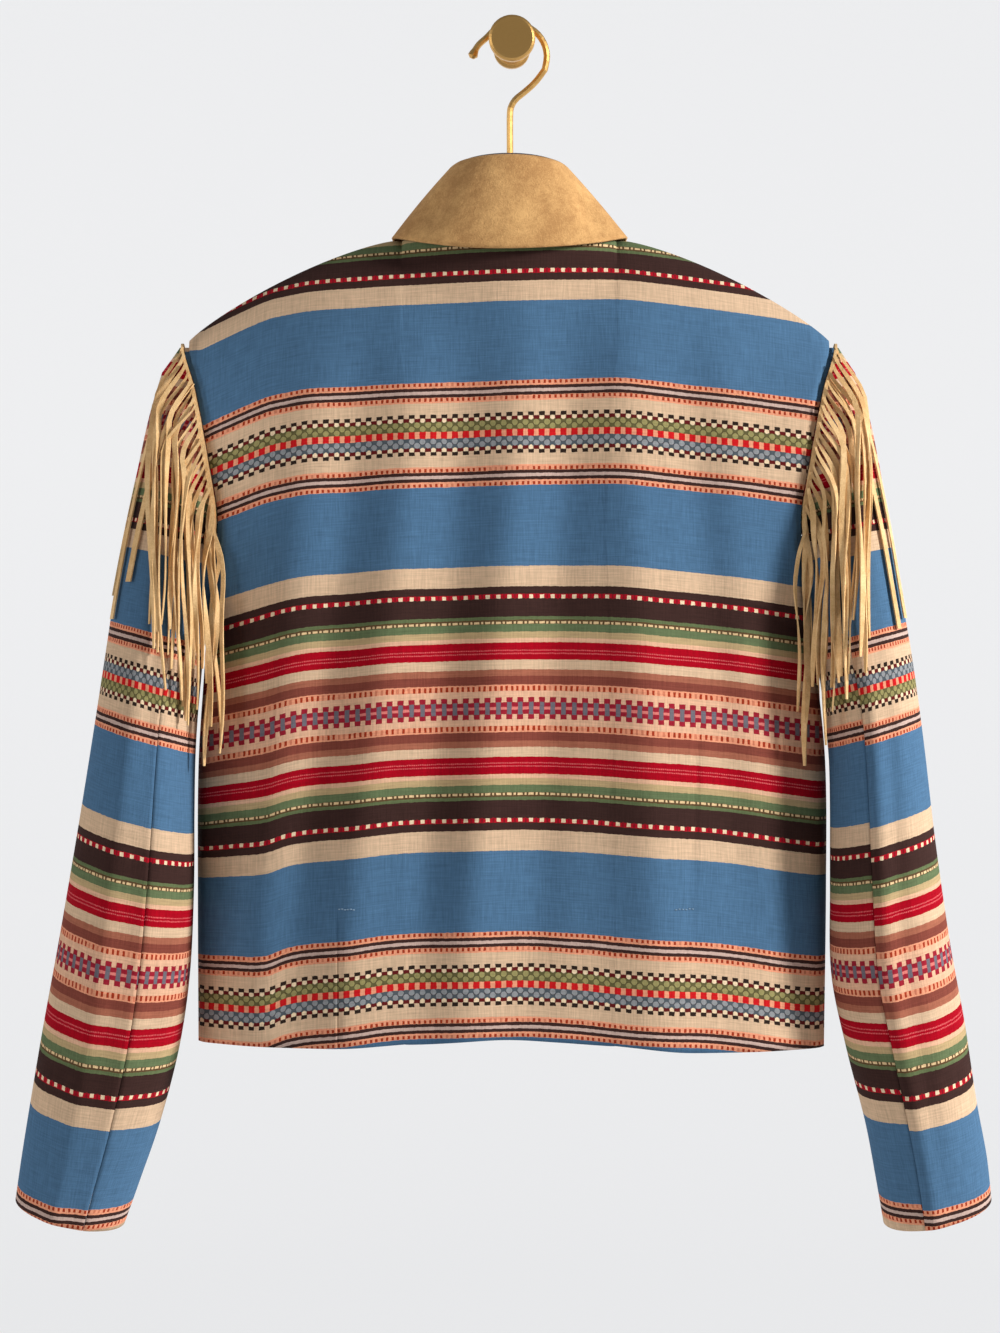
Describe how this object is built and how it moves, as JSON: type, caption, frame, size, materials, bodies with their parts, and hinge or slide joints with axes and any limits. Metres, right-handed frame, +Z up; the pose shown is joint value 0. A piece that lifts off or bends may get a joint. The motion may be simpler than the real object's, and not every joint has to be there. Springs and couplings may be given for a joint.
{
  "type": "western fringe jacket on a hanger and wall hook",
  "caption": "Cropped serape-striped western jacket with suede collar and armhole fringe, hanging from a hanger on a round brass wall knob.",
  "frame": {"origin": "centre of the wall knob's flat back face, in the plane of the wall", "axes": "+Z up, +X to the right as the jacket's back is seen, +Y into the wall"},
  "size_m": [0.696, 0.1183, 0.8609],
  "materials": {
    "striped_weave": "matte",
    "tan_suede": "matte",
    "navy_cotton": "matte",
    "beech_wood": "satin",
    "brushed_brass": "brushed"
  },
  "bodies": {
    "root": {"back": "striped_weave", "front_left": "striped_weave", "front_right": "striped_weave", "sleeve_left_top": "striped_weave", "sleeve_left_under": "striped_weave", "sleeve_right_top": "striped_weave", "sleeve_right_under": "striped_weave", "collar": "tan_suede", "collar_stand": "navy_cotton", "fringe_left": "tan_suede", "fringe_right": "tan_suede", "hanger": "beech_wood", "hanger_hook": "brushed_brass", "wall_knob": "brushed_brass"}
  },
  "joints": []
}
